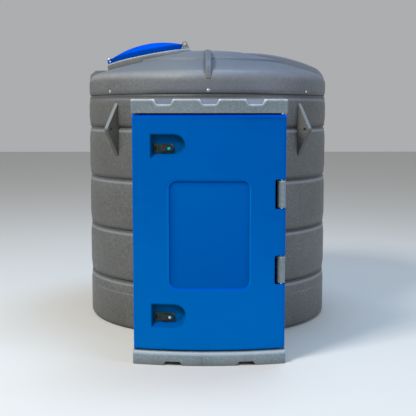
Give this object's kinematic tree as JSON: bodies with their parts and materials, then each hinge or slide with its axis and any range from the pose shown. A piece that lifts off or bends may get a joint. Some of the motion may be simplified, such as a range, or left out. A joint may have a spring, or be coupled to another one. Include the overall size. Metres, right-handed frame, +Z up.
{
  "type": "diesel exhaust fluid tank",
  "caption": "Round banded double-walled tank for diesel exhaust fluid, with a bolted domed hood, a hinged inspection lid and a dispensing cabinet with a hinged door.",
  "frame": {"origin": "where the tank's upright axis meets the ground", "axes": "+Z up; -Y is the front, where the cabinet's door faces; +X is to the right as seen from the front"},
  "size_m": [2.036, 2.7898, 2.3309],
  "materials": {
    "grey_polyethylene": "orange-peel moulded grey",
    "light_polyethylene": "speckled light grey",
    "blue_polyethylene": "satin moulded blue",
    "lid_polyethylene": "satin moulded bright blue",
    "inner_polyethylene": "natural moulded",
    "black_plastic": "satin moulded black",
    "zinc_steel": "zinc plated"
  },
  "bodies": {
    "tank": {"outer_wall": "grey_polyethylene", "outer_floor": "grey_polyethylene", "tie_down_lugs": "grey_polyethylene", "roof_hood": "grey_polyethylene", "hood_bolts": "zinc_steel", "lid_collar": "grey_polyethylene", "inner_tank": "inner_polyethylene", "inner_tank_roof": "inner_polyethylene", "inner_neck": "inner_polyethylene", "inner_cap": "black_plastic", "cabinet_roof": "light_polyethylene", "cabinet_base": "light_polyethylene", "cabinet_left_wall": "light_polyethylene", "cabinet_right_wall": "light_polyethylene", "cabinet_back": "light_polyethylene", "hinge_knuckles": "light_polyethylene", "hinge_rod": "zinc_steel", "lid_hinge_bracket": "zinc_steel", "lid_hinge_pin": "zinc_steel", "lid_staple": "zinc_steel"},
    "door_leaf": {"door": "blue_polyethylene", "latch_plates": "black_plastic"},
    "lower_handle": {"lower_lever": "black_plastic", "lower_lock": "zinc_steel"},
    "upper_handle": {"upper_lever": "black_plastic", "upper_lock": "zinc_steel"},
    "lid_leaf": {"lid": "lid_polyethylene"}
  },
  "joints": [
    {"name": "door_hinge", "type": "hinge", "parent": "tank", "child": "door_leaf", "pos_m": [0.49, -1.66164, 0.9], "axis": [0, 0, 1], "range_deg": [0, 110]},
    {"name": "lower_lever_turn", "type": "hinge", "parent": "door_leaf", "child": "lower_handle", "pos_m": [-0.318, -1.72518, 0.325], "axis": [-0.1428, -0.9898, 0], "range_deg": [0, 90]},
    {"name": "upper_lever_turn", "type": "hinge", "parent": "door_leaf", "child": "upper_handle", "pos_m": [-0.318, -1.72518, 1.48], "axis": [-0.1428, -0.9898, 0], "range_deg": [0, 90]},
    {"name": "lid_hinge", "type": "hinge", "parent": "tank", "child": "lid_leaf", "pos_m": [-0.19487, 0, 2.30887], "axis": [0, 1, 0], "range_deg": [0, 105]}
  ]
}
